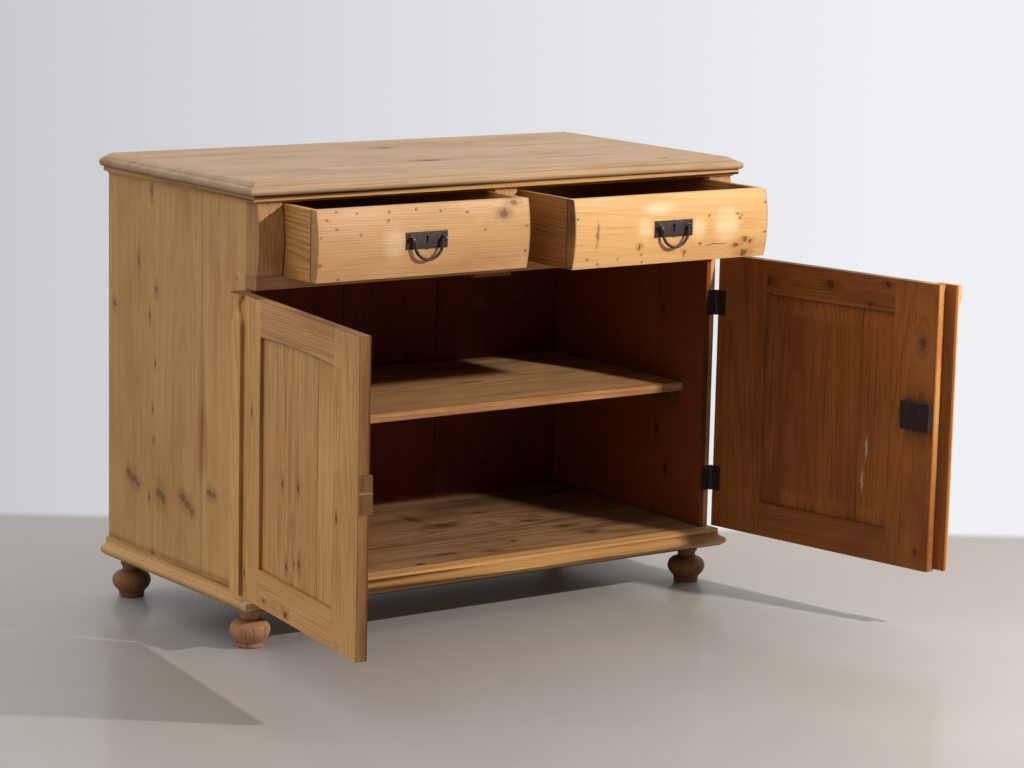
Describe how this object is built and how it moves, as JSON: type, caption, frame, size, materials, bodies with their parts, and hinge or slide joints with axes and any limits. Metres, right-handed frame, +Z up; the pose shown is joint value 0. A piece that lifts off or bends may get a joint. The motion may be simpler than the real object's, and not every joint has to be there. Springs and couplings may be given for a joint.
{
  "type": "jelly cupboard",
  "caption": "Low wide stripped-pine cupboard with bow-fronted drawers over hinged panel doors, an inner shelf, moulded top and base, drop handles and turned bun feet.",
  "frame": {"origin": "on the floor under the middle of the side panels' width and depth", "axes": "+X to the right of someone facing the doors, +Y towards the back, +Z up"},
  "size_m": [1.4109, 1.1369, 0.917],
  "materials": {
    "pine": "waxed, stripped pine",
    "iron": "dark worn iron"
  },
  "bodies": {
    "carcass": {"top_board": "pine", "cornice": "pine", "left_side": "pine", "right_side": "pine", "back_boards": "pine", "bottom_board": "pine", "plinth_rail": "pine", "base_moulding": "pine", "drawer_rail": "pine", "top_front_rail": "pine", "left_frieze_block": "pine", "right_frieze_block": "pine", "drawer_divider": "pine", "side_runners": "pine", "centre_runner": "pine", "shelf": "pine", "shelf_cleats": "pine", "door_stop": "pine", "front_left_foot": "pine", "front_right_foot": "pine", "rear_left_foot": "pine", "rear_right_foot": "pine", "foot_blocks": "pine", "hinge_frame_leaves": "iron", "hinge_pins": "iron"},
    "left_door": {"left_door_hinge_stile": "pine", "left_door_meeting_stile": "pine", "left_door_top_rail": "pine", "left_door_bottom_rail": "pine", "left_door_panel": "pine", "left_door_pilaster": "pine", "left_door_keeper": "pine", "left_door_hinge_leaves": "iron"},
    "right_door": {"right_door_hinge_stile": "pine", "right_door_meeting_stile": "pine", "right_door_top_rail": "pine", "right_door_bottom_rail": "pine", "right_door_panel": "pine", "right_door_pilaster": "pine", "right_door_hinge_leaves": "iron", "right_door_astragal": "pine", "right_door_lock": "iron", "right_door_escutcheon": "iron"},
    "right_door_bolt": {"right_door_bolt": "iron"},
    "left_drawer": {"left_drawer_face": "pine", "left_drawer_sides": "pine", "left_drawer_back": "pine", "left_drawer_bottom": "pine", "left_drawer_lock": "iron", "left_drawer_plate": "iron"},
    "left_drawer_bolt": {"left_drawer_bolt": "iron"},
    "left_drawer_bail": {"left_drawer_bail": "iron"},
    "right_drawer": {"right_drawer_face": "pine", "right_drawer_sides": "pine", "right_drawer_back": "pine", "right_drawer_bottom": "pine", "right_drawer_lock": "iron", "right_drawer_plate": "iron"},
    "right_drawer_bolt": {"right_drawer_bolt": "iron"},
    "right_drawer_bail": {"right_drawer_bail": "iron"}
  },
  "joints": [
    {"name": "left_door_hinge", "type": "hinge", "parent": "carcass", "child": "left_door", "pos_m": [-0.58, -0.273, 0.416], "axis": [0, 0, -1], "range_deg": [-98, 72]},
    {"name": "right_door_hinge", "type": "hinge", "parent": "carcass", "child": "right_door", "pos_m": [0.58, -0.273, 0.416], "axis": [0, 0, 1], "range_deg": [-100.2, 69.8]},
    {"name": "right_door_bolt_slide", "type": "slide", "parent": "right_door", "child": "right_door_bolt", "axis": [0.1771, -0.9842, 0], "range_m": [0, 0.01]},
    {"name": "left_drawer_slide", "type": "slide", "parent": "carcass", "child": "left_drawer", "axis": [0, -1, 0], "range_m": [-0.117, 0.243]},
    {"name": "left_bail_swing", "type": "hinge", "parent": "left_drawer", "child": "left_drawer_bail", "pos_m": [-0.273, -0.4465, 0.8095], "axis": [-1, 0, 0], "range_deg": [0, 95]},
    {"name": "left_drawer_bolt_slide", "type": "slide", "parent": "left_drawer", "child": "left_drawer_bolt", "axis": [0, 0, 1], "range_m": [0, 0.009]},
    {"name": "right_drawer_slide", "type": "slide", "parent": "carcass", "child": "right_drawer", "axis": [0, -1, 0], "range_m": [-0.185, 0.175]},
    {"name": "right_bail_swing", "type": "hinge", "parent": "right_drawer", "child": "right_drawer_bail", "pos_m": [0.273, -0.5145, 0.8095], "axis": [-1, 0, 0], "range_deg": [0, 95]},
    {"name": "right_drawer_bolt_slide", "type": "slide", "parent": "right_drawer", "child": "right_drawer_bolt", "axis": [0, 0, 1], "range_m": [0, 0.009]}
  ]
}
